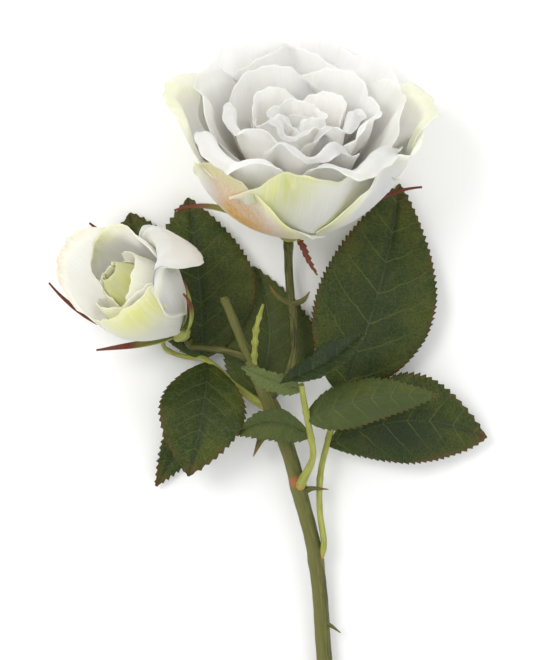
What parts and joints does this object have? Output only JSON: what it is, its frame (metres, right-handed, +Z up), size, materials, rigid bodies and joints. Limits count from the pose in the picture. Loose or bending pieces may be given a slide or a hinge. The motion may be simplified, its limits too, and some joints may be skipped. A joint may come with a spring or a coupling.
{
  "type": "cut rose",
  "caption": "Cut rose lying on its back: open cream-white bloom on a bent stalk, small bud beside it, serrated dark green leaves and a thorny stem cut straight across.",
  "frame": {"origin": "middle of the footprint's bounding box, on the surface that the rose lies on", "axes": "+X across the rose, away from the bud; +Y along the stem, from its cut end towards the bloom; +Z up, away from the surface"},
  "size_m": [0.1564, 0.2612, 0.0751],
  "materials": {
    "petal": "soft matt cream white, thin and faintly translucent, with yellow-green and peach tints outside",
    "bud_petal": "soft matt greenish cream",
    "leaf": "waxy satin dark green above, paler and matt below",
    "bark": "smooth olive-green skin, satin",
    "young_green": "smooth yellow-green skin, satin",
    "sepal": "matt green turning red-brown at the tips"
  },
  "bodies": {
    "root": {"bloom_calyx": "sepal", "bloom_stalk": "bark", "bud_calyx": "sepal", "bud_heart_petal_a": "bud_petal", "bud_heart_petal_b": "bud_petal", "bud_inner_petal_a": "bud_petal", "bud_inner_petal_b": "bud_petal", "bud_inner_petal_c": "bud_petal", "bud_outer_petal_a": "bud_petal", "bud_outer_petal_b": "bud_petal", "bud_outer_petal_c": "bud_petal", "bud_outer_petal_d": "bud_petal", "bud_stalk": "bark", "core_petal_a": "petal", "core_petal_b": "petal", "core_petal_c": "petal", "front_end_leaflet": "leaf", "front_leafstalk": "young_green", "front_left_leaflet": "leaf", "front_low_leaflet": "leaf", "front_right_leaflet": "leaf", "heart_petal_a": "petal", "heart_petal_b": "petal", "inner_petal_a": "petal", "inner_petal_b": "petal", "inner_petal_c": "petal", "inner_petal_d": "petal", "left_far_leaflet": "leaf", "left_leafstalk": "young_green", "left_lower_leaflet": "leaf", "left_middle_leaflet": "leaf", "left_under_leaflet": "leaf", "left_upper_leaflet": "leaf", "main_stem": "bark", "middle_petal_a": "petal", "middle_petal_b": "petal", "middle_petal_c": "petal", "middle_petal_d": "petal", "middle_petal_e": "petal", "outer_petal_a": "petal", "outer_petal_b": "petal", "outer_petal_c": "petal", "outer_petal_d": "petal", "outer_petal_e": "petal", "outer_petal_f": "petal", "outer_petal_g": "petal", "right_leafstalk": "young_green", "right_lower_leaflet": "leaf", "right_upper_leaflet": "leaf", "wide_petal_a": "petal", "wide_petal_b": "petal", "wide_petal_c": "petal", "wide_petal_d": "petal", "wide_petal_e": "petal", "young_shoot": "young_green"}
  },
  "joints": []
}
